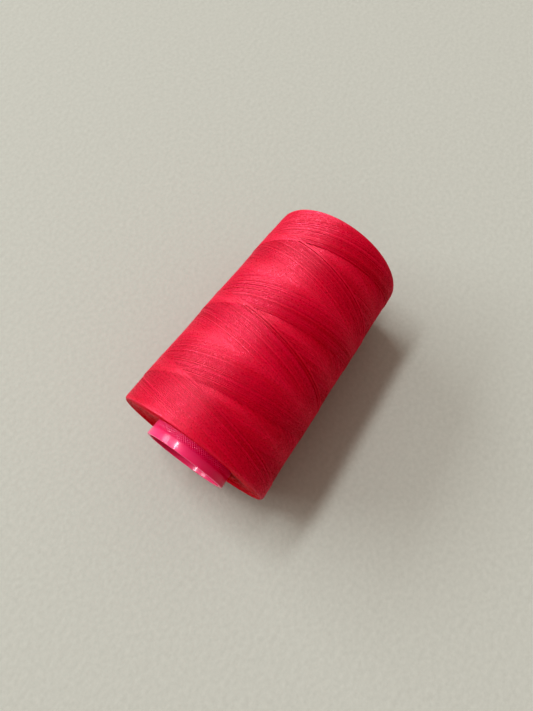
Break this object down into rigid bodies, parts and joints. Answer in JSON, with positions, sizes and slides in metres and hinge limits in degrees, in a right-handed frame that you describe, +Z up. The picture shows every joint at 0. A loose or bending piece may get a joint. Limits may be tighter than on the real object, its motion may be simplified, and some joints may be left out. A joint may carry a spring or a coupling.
{
  "type": "spool of sewing thread",
  "caption": "Tapered plastic tube cross-wound with red sewing thread, lying on its side; the tube stands out at both ends and its bore is open right through.",
  "frame": {"origin": "bottom centre of the overall box: on the table, under the middle of the spool's length", "axes": "+Z up. +X along the line on which the package lies on the table, from the wide base end towards the small end, so the spool's own axis dips 2.1 degrees below +X. +Y level, across the spool."},
  "size_m": [0.1142, 0.0662, 0.0661],
  "materials": {
    "tube_plastic": "glossy moulded plastic, hot pink, with a knurled band beside the winding",
    "thread": "matte spun polyester thread, crimson red, cross-wound, with a faint fuzz"
  },
  "bodies": {
    "root": {"core_tube": "tube_plastic", "thread_package": "thread"}
  },
  "joints": []
}
